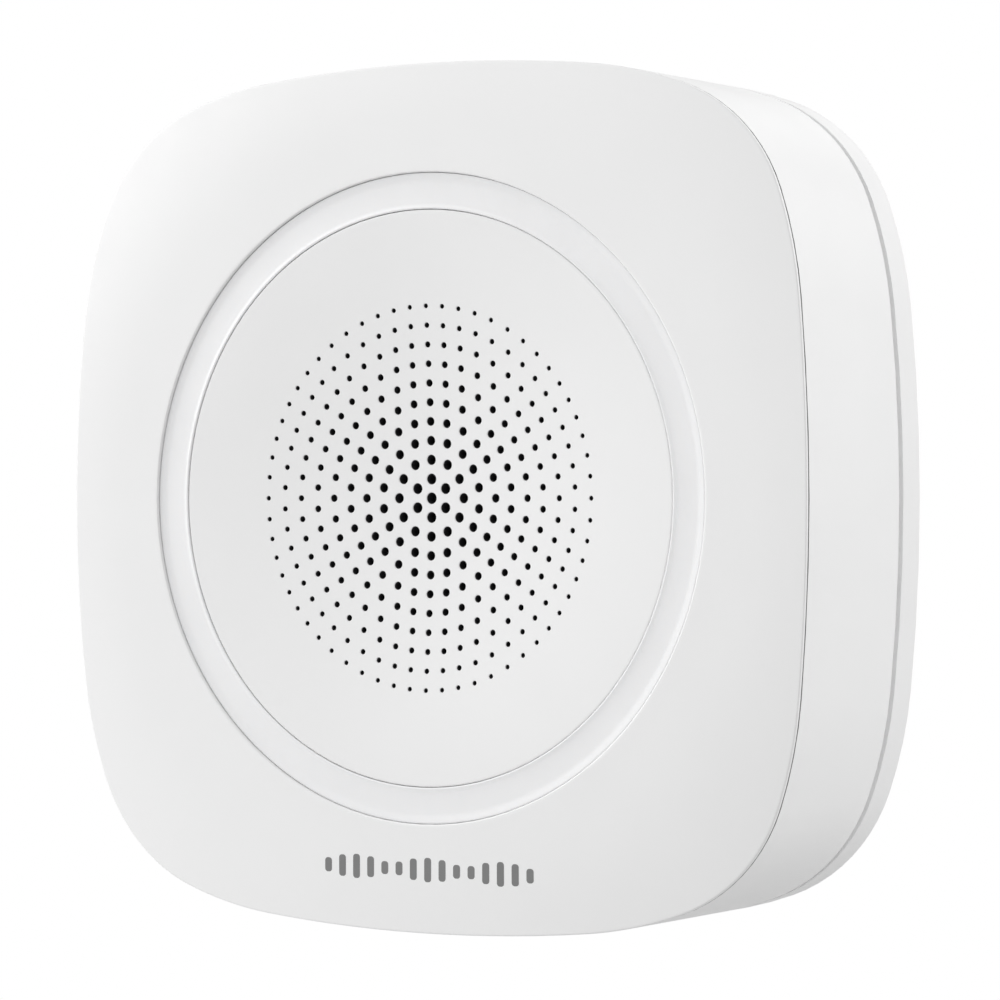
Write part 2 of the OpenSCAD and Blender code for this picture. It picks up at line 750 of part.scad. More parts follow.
wall_plate();
housing();
front_cover();
light_ring();
grille_disc();
acoustic_mesh();
chamber_gasket();
siren_chamber();
chamber_cap();
piezo_disc();
piezo_ceramic();
piezo_seal();
siren_leads();
chamber_screws();
led_board();
leds();
led_ribbon();
ribbon_socket();
main_board();
board_screws();
control_chip();
radio_module();
antenna();
boost_transformer();
buffer_capacitor();
board_parts();
tamper_switch();
tamper_plunger();
power_switch();
power_slider();
enrol_switch();
enrol_button();
for (i = [1:4]) battery(i);
cell_springs();
cell_plates();
rating_label();
cover_screws();
lock_screw();
lock_washer();
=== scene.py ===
import json
import bpy
import bmesh
from math import asin, cos, hypot, pi, radians, sin
from mathutils import Matrix, Vector


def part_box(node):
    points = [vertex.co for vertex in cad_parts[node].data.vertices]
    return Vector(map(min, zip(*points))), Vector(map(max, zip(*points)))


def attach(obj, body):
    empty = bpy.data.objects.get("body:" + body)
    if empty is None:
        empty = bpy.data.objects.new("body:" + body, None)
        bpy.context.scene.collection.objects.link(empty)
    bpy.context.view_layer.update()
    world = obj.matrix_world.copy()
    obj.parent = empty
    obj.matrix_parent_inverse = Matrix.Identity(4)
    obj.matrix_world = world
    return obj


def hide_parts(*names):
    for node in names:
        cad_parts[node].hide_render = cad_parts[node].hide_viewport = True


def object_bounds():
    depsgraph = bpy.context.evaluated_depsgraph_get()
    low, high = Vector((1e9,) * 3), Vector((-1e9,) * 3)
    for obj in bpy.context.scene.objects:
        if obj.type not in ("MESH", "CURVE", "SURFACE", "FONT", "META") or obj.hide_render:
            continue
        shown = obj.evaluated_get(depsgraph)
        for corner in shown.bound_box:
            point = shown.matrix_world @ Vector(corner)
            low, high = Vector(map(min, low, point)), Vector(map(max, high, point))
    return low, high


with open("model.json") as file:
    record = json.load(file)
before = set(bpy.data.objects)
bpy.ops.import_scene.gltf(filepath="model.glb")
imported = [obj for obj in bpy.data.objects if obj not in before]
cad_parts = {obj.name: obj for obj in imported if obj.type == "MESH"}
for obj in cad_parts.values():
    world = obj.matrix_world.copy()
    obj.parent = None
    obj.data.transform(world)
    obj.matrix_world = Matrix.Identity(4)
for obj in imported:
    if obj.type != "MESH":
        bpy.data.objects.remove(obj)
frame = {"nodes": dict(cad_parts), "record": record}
cadLow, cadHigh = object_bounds()
nodes = frame["nodes"]
print("frame loaded:", len(nodes), "nodes")

mm = 0.001
micrometre = 1e-6
close = 0.01              # heights in mm that differ by less are taken as the same
# pieces are drawn lying on the wall in millimetres, x right, y up, z off the wall, then stood up
standUp = Matrix.Rotation(radians(90), 4, "X") @ Matrix.Scale(mm, 4)
faceHeight = -cadLow.y / mm
halfWidth = cadHigh.x / mm


cameraSettings = {
    "lens": 142.7,
    "distance": 0.508,       # from the middle of the dish, in metres
    "dishDepth": 2.9,        # of that middle behind the front of the case
    "azimuth": 33.04,        # to the right of the face's normal
    "turnAside": 0.99,       # aims a little right of the dish
    "turnUp": -0.025,
}


def setUpCamera(s):
    target = Vector((0, cadLow.y + s["dishDepth"] * mm, 0))
    angle = radians(s["azimuth"])
    data = bpy.data.cameras.new("camera")
    data.lens = s["lens"]
    camera = bpy.data.objects.new("camera", data)
    bpy.context.scene.collection.objects.link(camera)
    camera.location = target + s["distance"] * Vector((sin(angle), -cos(angle), 0))
    camera.rotation_euler = (radians(90 + s["turnUp"]), 0, angle - radians(s["turnAside"]))
    bpy.context.scene.camera = camera


setUpCamera(cameraSettings)


# softboxes by azimuth (0 in front, 90 to the right), elevation and power in watts
lightSettings = {
    "softboxes": [
        ("key", -60, 20, 8.6), ("key_high", -60, 45, 1.8), ("front", -30, 30, 3.0),
        ("left_low", -70, -5, 3.2), ("right_high", 60, 45, 3.2), ("right_back", 125, 25, 10.0),
        ("back", 180, 45, 2.4),
    ],
    "boxSize": 0.9,
    "boxDistance": 1.5,
    "ambient": 0.52,
    "floorLow": -0.32,
    "floorRadius": 0.9,
    "floorColour": (0.6, 0.6, 0.6),
}


def addSoftbox(s, name, azimuth, elevation, power):
    data = bpy.data.lights.new(name, "AREA")
    data.shape = "DISK"
    data.size = s["boxSize"]
    data.energy = power
    lamp = bpy.data.objects.new(name, data)
    bpy.context.scene.collection.objects.link(lamp)
    side, up = radians(azimuth), radians(elevation)
    towards = Vector((sin(side) * cos(up), -cos(side) * cos(up), sin(up)))
    lamp.location = s["boxDistance"] * towards
    lamp.rotation_mode = "QUATERNION"
    lamp.rotation_quaternion = (-towards).to_track_quat("-Z", "Y")


def setUpWorld(s):
    # even ambient light, behind a plain white backdrop
    world = bpy.data.worlds.new("studio")
    bpy.context.scene.world = world
    world.use_nodes = True
    tree = world.node_tree
    tree.nodes.clear()
    soft = tree.nodes.new("ShaderNodeBackground")
    soft.inputs["Color"].default_value = (s["ambient"], s["ambient"], s["ambient"], 1)
    plain = tree.nodes.new("ShaderNodeBackground")
    plain.inputs["Color"].default_value = (1, 1, 1, 1)
    seen = tree.nodes.new("ShaderNodeLightPath")
    mix = tree.nodes.new("ShaderNodeMixShader")
    out = tree.nodes.new("ShaderNodeOutputWorld")
    tree.links.new(seen.outputs["Is Camera Ray"], mix.inputs[0])
    tree.links.new(soft.outputs[0], mix.inputs[1])
    tree.links.new(plain.outputs[0], mix.inputs[2])
    tree.links.new(mix.outputs[0], out.inputs["Surface"])


def setUpStudio(s):
    bpy.context.scene.view_settings.view_transform = "Standard"
    for softbox in s["softboxes"]:
        addSoftbox(s, *softbox)
    setUpWorld(s)
    bm = bmesh.new()
    bmesh.ops.create_circle(bm, cap_ends=True, radius=s["floorRadius"], segments=96,
                            matrix=Matrix.Translation((0, 0, s["floorLow"])))
    mesh = bpy.data.meshes.new("floor")
    bm.to_mesh(mesh)
    bm.free()
    floor = bpy.data.objects.new("floor", mesh)
    bpy.context.scene.collection.objects.link(floor)
    paint, shader, tools = startMaterial("floor_paint", s["floorColour"], 0.7)
    mottle(tools, shader, s["floorColour"], 0.02, 3)
    mesh.materials.append(paint)


def startMaterial(name, colour, roughness, metallic=0.0):
    material = bpy.data.materials.new(name)
    material.use_nodes = True
    tree = material.node_tree
    shader = tree.nodes["Principled BSDF"]
    shader.inputs["Base Color"].default_value = (*colour, 1)
    shader.inputs["Roughness"].default_value = roughness
    shader.inputs["Metallic"].default_value = metallic
    coords = tree.nodes.new("ShaderNodeTexCoord")
    return material, shader, (tree, coords.outputs["Object"])


def addNoise(tools, scale, detail=3.0, stretch=None):
    tree, place = tools
    if stretch:
        mapping = tree.nodes.new("ShaderNodeMapping")
        mapping.inputs["Scale"].default_value = stretch
        tree.links.new(place, mapping.inputs["Vector"])
        place = mapping.outputs[0]
    noise = tree.nodes.new("ShaderNodeTexNoise")
    noise.inputs["Scale"].default_value = scale
    noise.inputs["Detail"].default_value = detail
    tree.links.new(place, noise.inputs["Vector"])
    return noise.outputs["Fac"]


def spreadValue(tools, value, low, high):
    tree = tools[0]
    spread = tree.nodes.new("ShaderNodeMapRange")
    spread.inputs["From Min"].default_value = 0.3
    spread.inputs["From Max"].default_value = 0.7
    spread.inputs["To Min"].default_value = low
    spread.inputs["To Max"].default_value = high
    tree.links.new(value, spread.inputs["Value"])
    return spread.outputs[0]


def mixColours(tools, factor, first, second):
    tree = tools[0]
    mix = tree.nodes.new("ShaderNodeMix")
    mix.data_type = "RGBA"
    tree.links.new(factor, mix.inputs["Factor"])
    for socket, colour in ((mix.inputs[6], first), (mix.inputs[7], second)):
        if isinstance(colour, tuple):
            socket.default_value = (*colour, 1)
        else:
            tree.links.new(colour, socket)
    return mix.outputs[2]


def calculate(tools, operation, *values):
    tree = tools[0]
    node = tree.nodes.new("ShaderNodeMath")
    node.operation = operation
    for socket, value in zip(node.inputs, values):
        if isinstance(value, (int, float)):
            socket.default_value = value
        else:
            tree.links.new(value, socket)
    return node.outputs[0]


def mottle(tools, shader, colour, amount, scale):
    # slow variation of the colour over the piece
    dim = tuple(c * (1 - amount) for c in colour)
    factor = spreadValue(tools, addNoise(tools, scale), 0, 1)
    colourOut = mixColours(tools, factor, dim, colour)
    tools[0].links.new(colourOut, shader.inputs["Base Color"])
    return colourOut


def roughen(tools, shader, low, high, scale):
    tools[0].links.new(spreadValue(tools, addNoise(tools, scale), low, high), shader.inputs["Roughness"])


def raiseGrain(tools, shader, height, distance):
    tree = tools[0]
    bump = tree.nodes.new("ShaderNodeBump")
    bump.inputs["Strength"].default_value = 1
    bump.inputs["Distance"].default_value = distance
    tree.links.new(height, bump.inputs["Height"])
    tree.links.new(bump.outputs[0], shader.inputs["Normal"])


# shared by all moulded plastics: slow changes of colour, of gloss and of the surface's height
plasticFinish = {
    "mottle": 0.025,
    "mottleScale": 22,
    "glossScale": 140,
    "waveScale": 60,
    "waveDetail": 4,
    "waveShare": 1.5,         # of the grain's own height
}

# moulded plastics: colour, roughness range, grain size in mm and grain depth in micrometres
plastics = {
    "rear_plastic": {"colour": (0.845, 0.845, 0.845), "rough": (0.44, 0.56), "grain": 0.22, "deep": 3.0},
    "case_plastic": {"colour": (0.865, 0.865, 0.865), "rough": (0.40, 0.50), "grain": 0.20, "deep": 2.4},
    "cover_plastic": {"colour": (0.865, 0.865, 0.865), "rough": (0.40, 0.50), "grain": 0.18, "deep": 2.2},
    "grille_plastic": {"colour": (0.86, 0.86, 0.86), "rough": (0.40, 0.50), "grain": 0.18, "deep": 2.2},
    # seam_shadow is a grey painted as the shade in the seam between the cover and the housing
    "seam_shadow": {"colour": (0.42, 0.42, 0.42), "rough": (0.5, 0.6), "grain": 0.25, "deep": 3.0},
    # dark_plastic is also painted on the grille's hole walls as their shade
    "dark_plastic": {"colour": (0.035, 0.035, 0.038), "rough": (0.45, 0.62), "grain": 0.25, "deep": 5.0},
    "rubber": {"colour": (0.03, 0.03, 0.03), "rough": (0.6, 0.8), "grain": 0.3, "deep": 5.0},
    "foam": {"colour": (0.05, 0.05, 0.05), "rough": (0.85, 0.95), "grain": 0.5, "deep": 60.0},
    "knob_white": {"colour": (0.80, 0.80, 0.78), "rough": (0.32, 0.42), "grain": 0.15, "deep": 2.0},
    "button_red": {"colour": (0.55, 0.05, 0.03), "rough": (0.35, 0.45), "grain": 0.15, "deep": 2.0},
    "socket_ivory": {"colour": (0.74, 0.70, 0.56), "rough": (0.38, 0.48), "grain": 0.15, "deep": 2.0},
    "lead_red": {"colour": (0.5, 0.03, 0.02), "rough": (0.35, 0.45), "grain": 0.2, "deep": 2.0},
    "ceramic": {"colour": (0.62, 0.61, 0.58), "rough": (0.4, 0.6), "grain": 0.3, "deep": 6.0},
    "flex_film": {"colour": (0.5, 0.22, 0.04), "rough": (0.22, 0.32), "grain": 0.6, "deep": 2.0},
}


def mixPlastic(name, s):
    material, shader, tools = startMaterial(name, s["colour"], s["rough"][0])
    finish = plasticFinish
    mottle(tools, shader, s["colour"], finish["mottle"], finish["mottleScale"])
    roughen(tools, shader, *s["rough"], finish["glossScale"])
    pebbles = tools[0].nodes.new("ShaderNodeTexVoronoi")
    pebbles.feature = "SMOOTH_F1"
    pebbles.inputs["Scale"].default_value = 1 / (s["grain"] * mm)
    tools[0].links.new(tools[1], pebbles.inputs["Vector"])
    waves = addNoise(tools, finish["waveScale"], finish["waveDetail"])
    height = calculate(tools, "MULTIPLY_ADD", waves, finish["waveShare"], pebbles.outputs["Distance"])
    raiseGrain(tools, shader, height, s["deep"] * micrometre)
    return material


# shared by all metals: mottling and brushed streaks, whose depth is in micrometres
metalFinish = {
    "mottle": 0.12,
    "mottleScale": 300,
    "streakScale": 2500,
    "streakDetail": 4,
    "streakDeep": 4,
}

# plated and rolled metals: colour, roughness range, and how far the brushing is drawn out along x, y, z
metals = {
    "zinc_steel": {"colour": (0.62, 0.63, 0.64), "rough": (0.28, 0.42), "drawn": (1, 1, 1)},
    "lock_steel": {"colour": (0.60, 0.60, 0.59), "rough": (0.22, 0.36), "drawn": (1, 1, 0.2)},
    "brass": {"colour": (0.78, 0.58, 0.28), "rough": (0.25, 0.4), "drawn": (0.1, 1, 1)},
    "shield_tin": {"colour": (0.66, 0.66, 0.65), "rough": (0.3, 0.45), "drawn": (0.12, 1, 1)},
    "antenna_brass": {"colour": (0.74, 0.55, 0.27), "rough": (0.25, 0.38), "drawn": (1, 1, 1)},
    "contact_nickel": {"colour": (0.66, 0.64, 0.6), "rough": (0.22, 0.36), "drawn": (1, 1, 0.15)},
}


def mixMetal(name, s):
    material, shader, tools = startMaterial(name, s["colour"], s["rough"][0], 1.0)
    finish = metalFinish
    mottle(tools, shader, s["colour"], finish["mottle"], finish["mottleScale"])
    streaks = addNoise(tools, finish["streakScale"], finish["streakDetail"], s["drawn"])
    tools[0].links.new(spreadValue(tools, streaks, *s["rough"]), shader.inputs["Roughness"])
    raiseGrain(tools, shader, streaks, finish["streakDeep"] * micrometre)
    return material


lensSettings = {
    "colour": (0.88, 0.88, 0.885),
    "rough": (0.28, 0.38),
    "milky": 0.25,
    "reach": 1.2,             # how far light creeps inside, in mm
    "tint": (1, 0.95, 0.9),
    "grainScale": 3500,
    "grainDeep": 2,
}


def mixLens(name, s):
    # milky ring that spreads the light of the lamps behind it
    material, shader, tools = startMaterial(name, s["colour"], s["rough"][0])
    shader.inputs["Subsurface Weight"].default_value = s["milky"]
    shader.inputs["Subsurface Radius"].default_value = s["tint"]
    shader.inputs["Subsurface Scale"].default_value = s["reach"] * mm
    mottle(tools, shader, s["colour"], 0.02, 60)
    roughen(tools, shader, *s["rough"], 200)
    raiseGrain(tools, shader, addNoise(tools, s["grainScale"], 2), s["grainDeep"] * micrometre)
    return material


clothSettings = {
    "thread": 0.12,           # spacing of the threads in mm
    "hollowShade": (0.006, 0.006, 0.006),
    "raised": (0.02, 0.02, 0.02),
    "sheen": 0.05,
    "deep": 20,
}


def mixCloth(name, s):
    # woven acoustic mesh: two crossed sets of fine threads, with the hollows between them painted darker
    # as shade
    material, shader, tools = startMaterial(name, s["raised"], 0.9)
    shader.inputs["Sheen Weight"].default_value = s["sheen"]
    tree, place = tools
    split = tree.nodes.new("ShaderNodeSeparateXYZ")
    tree.links.new(place, split.inputs[0])
    perMetre = 2 * pi / (s["thread"] * mm)
    threads = [calculate(tools, "SINE", calculate(tools, "MULTIPLY", split.outputs[axis], perMetre))
               for axis in ("X", "Z")]
    weave = calculate(tools, "MAXIMUM", *threads)
    # the hollows between the threads are painted darker as shade
    shade = mixColours(tools, spreadValue(tools, weave, 0, 1), s["hollowShade"], s["raised"])
    tree.links.new(shade, shader.inputs["Base Color"])
    raiseGrain(tools, shader, weave, s["deep"] * micrometre)
    return material


boardSettings = {
    "mask": {"green_board": (0.01, 0.10, 0.035), "white_board": (0.78, 0.79, 0.77)},
    "copper": {"green_board": (0.02, 0.2, 0.06), "white_board": (0.68, 0.69, 0.66)},
    "rough": 0.3,
    "coat": 0.4,
    "coatRough": 0.12,
    "trackSpacing": 6,        # in mm
    "trackShare": 0.05,
    "trackEdge": 0.2,
    "trackDeep": 30,
}


def mixBoard(name, s):
    # solder mask over rows of copper tracks
    mask, copper = s["mask"][name], s["copper"][name]
    material, shader, tools = startMaterial(name, mask, s["rough"])
    shader.inputs["Coat Weight"].default_value = s["coat"]
    shader.inputs["Coat Roughness"].default_value = s["coatRough"]
    tree, place = tools
    bricks = tree.nodes.new("ShaderNodeTexBrick")
    mapping = tree.nodes.new("ShaderNodeMapping")
    mapping.inputs["Rotation"].default_value = (radians(90), 0, 0)
    tree.links.new(place, mapping.inputs["Vector"])
    tree.links.new(mapping.outputs[0], bricks.inputs["Vector"])
    bricks.inputs["Scale"].default_value = 1 / (s["trackSpacing"] * mm)
    bricks.inputs["Mortar Size"].default_value = s["trackShare"]
    bricks.inputs["Mortar Smooth"].default_value = s["trackEdge"]
    tracks = bricks.outputs["Fac"]
    stain = spreadValue(tools, addNoise(tools, 90), 0, 0.25)
    shade = mixColours(tools, stain, mask, tuple(0.8 * c for c in mask))
    tree.links.new(mixColours(tools, tracks, shade, copper), shader.inputs["Base Color"])
    raiseGrain(tools, shader, tracks, s["trackDeep"] * micrometre)
    return material


# lengths in mm along a cell from the end nearer the middle of the case
cellSettings = {
    "wrap": ((0.62, 0.22, 0.02), (0.7, 0.27, 0.03)),
    "rough": (0.22, 0.36),
    "crease": 10,             # depth of the wrap's creases in micrometres
    "band": (0.03, 0.03, 0.035),
    "bandFrom": 5,
    "bandTo": 9,
    "metal": (0.6, 0.6, 0.58),
    "bareFoot": 1.2,
    "bareTop": 1.8,
}


def mixCell(name, s, low, high):
    # plain shrink wrap with bare metal ends and one dark band
    material, shader, tools = startMaterial(name, s["wrap"][1], 0.3)
    tree, place = tools
    split = tree.nodes.new("ShaderNodeSeparateXYZ")
    tree.links.new(place, split.inputs[0])
    reach = calculate(tools, "ABSOLUTE", split.outputs["Z"])
    band = calculate(tools, "MULTIPLY",
                     calculate(tools, "GREATER_THAN", reach, low + s["bandFrom"] * mm),
                     calculate(tools, "LESS_THAN", reach, low + s["bandTo"] * mm))
    bare = calculate(tools, "MAXIMUM",
                     calculate(tools, "LESS_THAN", reach, low + s["bareFoot"] * mm),
                     calculate(tools, "GREATER_THAN", reach, high - s["bareTop"] * mm))
    wrap = mixColours(tools, spreadValue(tools, addNoise(tools, 120), 0, 1), *s["wrap"])
    wrap = mixColours(tools, band, wrap, s["band"])
    tree.links.new(mixColours(tools, bare, wrap, s["metal"]), shader.inputs["Base Color"])
    tree.links.new(bare, shader.inputs["Metallic"])
    roughen(tools, shader, *s["rough"], 400)
    raiseGrain(tools, shader, addNoise(tools, 900, 4), s["crease"] * micrometre)
    return material


# smooth finishes of the small parts and of the print: colour, roughness range and share of metal
glosses = {
    "led_yellow": {"colour": (0.85, 0.75, 0.3), "rough": (0.15, 0.25), "metal": 0},
    "ferrite_tape": {"colour": (0.28, 0.17, 0.04), "rough": (0.3, 0.5), "metal": 0},
    "capacitor_sleeve": {"colour": (0.03, 0.06, 0.16), "rough": (0.2, 0.3), "metal": 0},
    "label_film": {"colour": (0.62, 0.62, 0.63), "rough": (0.3, 0.4), "metal": 0.6},
    "grey_print": {"colour": (0.2, 0.2, 0.2), "rough": (0.45, 0.55), "metal": 0},
}


def mixGloss(name, s):
    material, shader, tools = startMaterial(name, s["colour"], s["rough"][0], s["metal"])
    mottle(tools, shader, s["colour"], 0.08, 160)
    roughen(tools, shader, *s["rough"], 300)
    raiseGrain(tools, shader, addNoise(tools, 1500, 3), 5 * micrometre)
    return material


def mixAll():
    made = {name: mixPlastic(name, s) for name, s in plastics.items()}
    made.update({name: mixMetal(name, s) for name, s in metals.items()})
    made["lens_plastic"] = mixLens("lens_plastic", lensSettings)
    made["mesh_cloth"] = mixCloth("mesh_cloth", clothSettings)
    for name in boardSettings["mask"]:
        made[name] = mixBoard(name, boardSettings)
    cellLow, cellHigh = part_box("battery_1")
    made["cell_wrap"] = mixCell("cell_wrap", cellSettings, cellLow.z, cellHigh.z)
    made.update({name: mixGloss(name, s) for name, s in glosses.items()})
    return made


# the case's outline: sides, shoulders and corners, with the curve of the face over it
outline = {
    "faceFlat": 48,           # the face is level inside this radius
    "faceFall": 110,          # radius by which it falls away outside
    "sideRadius": 238.0,
    "sideSpan": 5.85,         # half the angle of a side
    "shoulderRadius": 55.5,
    "shoulderEnd": 20.0,
    "sideSteps": 7,
    "shoulderSteps": 8,
    "cornerSteps": 26,
}


def heading(angle):
    return Vector((cos(radians(angle)), sin(radians(angle)), 0))


def drawOutline(bm, s):
    # one loop round the case, with the way out from each point kept on its vertex
    away = bm.verts.layers.float_vector.new("away")
    base = bm.verts.layers.float_vector.new("base")
    side = Vector((halfWidth - s["sideRadius"], 0, 0))
    shoulder = side + (s["sideRadius"] - s["shoulderRadius"]) * heading(s["sideSpan"])
    reach = cos(radians(s["shoulderEnd"])) - sin(radians(s["shoulderEnd"]))
    cornerRadius = s["shoulderRadius"] + (shoulder.x - shoulder.y) / reach
    corner = shoulder + (s["shoulderRadius"] - cornerRadius) * heading(s["shoulderEnd"])
    shoulderSpan = s["shoulderEnd"] - s["sideSpan"]
    stretches = [
        (side, s["sideSpan"], s["sideSteps"]),
        (shoulder, shoulderSpan, s["shoulderSteps"]),
        (corner, 90 - 2 * s["shoulderEnd"], s["cornerSteps"]),
        (shoulder.yxz, shoulderSpan, s["shoulderSteps"]),
        (side.yxz, s["sideSpan"], s["sideSteps"]),
    ]
    last = bm.verts.new((halfWidth, 0, 0))
    known = {last}
    last[away] = heading(0)
    for quarter in range(4):
        turn = Matrix.Rotation(radians(90 * quarter), 3, "Z")
        for centre, span, steps in stretches:
            spun = bmesh.ops.spin(bm, geom=[last], cent=turn @ centre, axis=(0, 0, 1),
                                  angle=radians(span), steps=steps)
            last = [v for v in spun["geom_last"] if isinstance(v, bmesh.types.BMVert)][0]
            for vert in bm.verts:
                if vert not in known:
                    vert[away] = (vert.co - turn @ centre).normalized()
                    known.add(vert)
    bmesh.ops.remove_doubles(bm, verts=bm.verts[:], dist=1e-3)
    for vert in bm.verts:
        vert[base] = vert.co
    return bm.edges[:]


def domeHeight(x, y):
    # the face falls away outside a flat middle
    return faceHeight - max(hypot(x, y) - outline["faceFlat"], 0) ** 2 / (2 * outline["faceFall"])


def inward(amount, height):
    # a step of a sweep: so far inside the outline, at a height or at a height below the face
    def place(base, away):
        flat = base - away * amount
        return Vector((flat.x, flat.y, height(flat) if callable(height) else height))
    return place


def towardsCircle(share, startInset, radius, height):
    # a step of a sweep that is this share of the way from the outline to a circle
    def place(base, away):
        start = base - away * startInset
        flat = start.lerp(start.normalized() * radius, share)
        return Vector((flat.x, flat.y, height(flat) if callable(height) else height))
    return place


def belowFace(drop):
    return lambda flat: domeHeight(flat.x, flat.y) - drop


def sweepOutline(bm, edges, steps):
    base = bm.verts.layers.float_vector["base"]
    away = bm.verts.layers.float_vector["away"]
    for vert in {v for e in edges for v in e.verts}:
        vert.co = steps[0](vert[base], vert[away])
    for place in steps[1:]:
        grown = bmesh.ops.extrude_edge_only(bm, edges=edges)["geom"]
        edges = [g for g in grown if isinstance(g, bmesh.types.BMEdge) and g.is_boundary]
        for vert in (g for g in grown if isinstance(g, bmesh.types.BMVert)):
            vert.co = place(vert[base], vert[away])


def spinProfile(bm, points, steps, centre=(0, 0)):
    # turns a closed profile of (radius, height) points round an axis that stands off the wall
    verts = [bm.verts.new((centre[0] + r, centre[1], h)) for r, h in points]
    edges = [bm.edges.new((a, b)) for a, b in zip(verts, verts[1:] + verts[:1])]
    bmesh.ops.spin(bm, geom=verts + edges, cent=(*centre, 0), axis=(0, 0, 1), angle=2 * pi,
                   steps=steps, use_merge=True)


def finishPiece(bm, name, body, replaced, material, sharp=38):
    bmesh.ops.remove_doubles(bm, verts=bm.verts[:], dist=1e-4)
    bmesh.ops.recalc_face_normals(bm, faces=bm.faces[:])
    bm.transform(standUp)
    for face in bm.faces:
        face.smooth = True
    for edge in bm.edges:
        edge.smooth = edge.calc_face_angle(0) < radians(sharp)
    mesh = bpy.data.meshes.new(name)
    bm.to_mesh(mesh)
    bm.free()
    mesh.materials.append(material)
    piece = bpy.data.objects.new(name, mesh)
    bpy.context.scene.collection.objects.link(piece)
    weighted = piece.modifiers.new("weighted", "WEIGHTED_NORMAL")
    weighted.keep_sharp = True
    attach(piece, body)
    if replaced:
        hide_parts(*replaced)
    print("made", name, len(mesh.polygons), "faces")
    return piece


coverSettings = {
    "lapThick": 0.4,          # where the cover lies over the housing wall
    "thick": 1.8,
    "edgeRound": 0.16,
    "opening": 41.6,
    "openingRound": 0.22,
    "openingBand": 0.6,       # plain ring round the opening
    "rimBands": (0.3, 0.8, 2, 4),
    "faceBands": (0.15, 0.3, 0.45, 0.6, 0.75, 0.88),
    "skirtOut": 2.3,
    "skirtIn": 3.5,
    "skirtFoot": 26.4,
    "bossPlace": (22.0, 47.6),
    "bossRadius": 3.0,
    "bossBore": 1.25,
    "bossFoot": 14.1,
    "bossSteps": 32,
}


def roundOver(radius):
    # (inset, drop) of a rounded edge, from its side to its top
    return [(radius * (1 - sin(radians(a))), radius * (1 - cos(radians(a)))) for a in (90, 60, 30, 0)]


def makeCover(s, material, paintedShade):
    bm = bmesh.new()
    edges = drawOutline(bm, outline)
    under = belowFace(s["thick"])
    hole = s["opening"]
    # from the foot of the lap over the edge and the face to the opening, then back behind the face
    steps = [inward(0, belowFace(s["lapThick"]))]
    steps += [inward(inset, belowFace(drop)) for inset, drop in roundOver(s["edgeRound"])]
    steps += [inward(inset, belowFace(0)) for inset in s["rimBands"]]
    last, outside = s["rimBands"][-1], hole + s["openingRound"]
    steps += [towardsCircle(share, last, outside, belowFace(0)) for share in s["faceBands"]]
    steps += [towardsCircle(1, last, hole + inset, belowFace(drop))
              for inset, drop in [(s["openingBand"], 0)] + roundOver(s["openingRound"])[::-1]]
    steps += [towardsCircle(1, last, hole, faceHeight - s["thick"])]
    steps += [towardsCircle(0.5, s["skirtIn"], hole, under), inward(s["skirtIn"], under)]
    steps += [inward(s["skirtIn"], s["skirtFoot"]), inward(s["skirtOut"], s["skirtFoot"])]
    steps += [inward(s["skirtOut"], belowFace(s["lapThick"])), inward(0, belowFace(s["lapThick"]))]
    sweepOutline(bm, edges, steps)
    # the underside of the lap is darker, as the seam is in its shade
    for face in bm.faces:
        inLap = all(abs(v.co.z - domeHeight(v.co.x, v.co.y) + s["lapThick"]) < close for v in face.verts)
        face.material_index = 1 if inLap else 0
    x, y = s["bossPlace"]
    for centre in ((x, y), (-x, y), (x, -y), (-x, -y)):
        top = domeHeight(*centre) - s["thick"]
        spinProfile(bm, [(s["bossBore"], s["bossFoot"]), (s["bossRadius"], s["bossFoot"]),
                         (s["bossRadius"], top), (s["bossBore"], top)], s["bossSteps"], centre)
    cover = finishPiece(bm, "front_cover_shell", "case", ["front_cover"], material)
    cover.data.materials.append(paintedShade)
    return cover


ringSettings = {
    "inner": 36.92,
    "outer": 41.55,
    "floor": 31.46,
    "rimWide": 0.26,
    "rimUp": 0.2,
    "innerUp": 0.16,
    "outerSlope": 1.1,        # the floor rises gently to the outer rim
    "halfwayUp": 0.4,         # share of the rise at half that slope
    "innerSlope": 0.5,
    "flangeOut": 44.65,
    "flangeTop": 30.2,
    "shelfIn": 34.35,
    "shelfTop": 28.8,
    "leg": 1.0,
    "lensThick": 1.6,
    "foot": 27.0,
    "shelfThick": 1.0,
    "round": 0.13,
    "roundFrom": 25,          # angle in degrees from which an edge is rounded
    "steps": 192,
}


def makeRing(s, material):
    bm = bmesh.new()
    inner, outer, floor, wide = s["inner"], s["outer"], s["floor"], s["rimWide"]
    spinProfile(bm, [
        (s["shelfIn"], s["shelfTop"]),
        (inner, s["shelfTop"]),
        (inner, floor + s["innerUp"]),
        (inner + wide, floor + s["innerUp"]),
        (inner + wide + s["innerSlope"], floor),
        (outer - wide - s["outerSlope"], floor),
        (outer - wide - s["outerSlope"] / 2, floor + s["halfwayUp"] * s["rimUp"]),
        (outer - wide, floor + s["rimUp"]),
        (outer, floor + s["rimUp"]),
        (outer, s["flangeTop"]),
        (s["flangeOut"], s["flangeTop"]),
        (s["flangeOut"], s["flangeTop"] - s["shelfThick"]),
        (outer, s["flangeTop"] - s["shelfThick"]),
        (outer, s["foot"]),
        (outer - s["leg"], s["foot"]),
        (outer - s["leg"], floor - s["lensThick"]),
        (inner + s["leg"], floor - s["lensThick"]),
        (inner + s["leg"], s["shelfTop"] - s["shelfThick"]),
        (s["shelfIn"], s["shelfTop"] - s["shelfThick"]),
    ], s["steps"])
    bmesh.ops.recalc_face_normals(bm, faces=bm.faces[:])
    corners = [e for e in bm.edges if e.calc_face_angle(0) > radians(s["roundFrom"])]
    bmesh.ops.bevel(bm, geom=corners, offset=s["round"], segments=2, profile=0.5, affect="EDGES",
                    material=-1, clamp_overlap=True)
    return finishPiece(bm, "light_ring_lens", "case", ["light_ring"], material)


